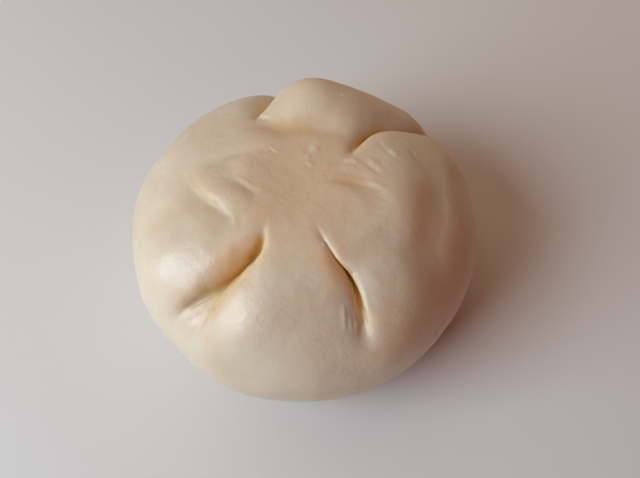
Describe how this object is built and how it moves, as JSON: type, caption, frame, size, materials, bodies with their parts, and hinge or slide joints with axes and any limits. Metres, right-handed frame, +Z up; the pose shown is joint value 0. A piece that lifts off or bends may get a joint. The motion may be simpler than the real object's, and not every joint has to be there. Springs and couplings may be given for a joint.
{
  "type": "meat mooncake",
  "caption": "Squat round of raw dough gathered over a filling, seam side up, with deep folds running out from the pinched centre and one lobe standing up at the back.",
  "frame": {"origin": "on the surface that the round stands on, under the centre of its bounding box", "axes": "+Z up through the pinch; +X to the right and +Y to the back, so the two open folds are at -Y and the lobe that stands up is at +Y"},
  "size_m": [0.06, 0.0564, 0.0356],
  "materials": {
    "dough": "raw wheat dough, cream to tan, soft satin, slightly see-through"
  },
  "bodies": {
    "root": {"dough": "dough"}
  },
  "joints": []
}
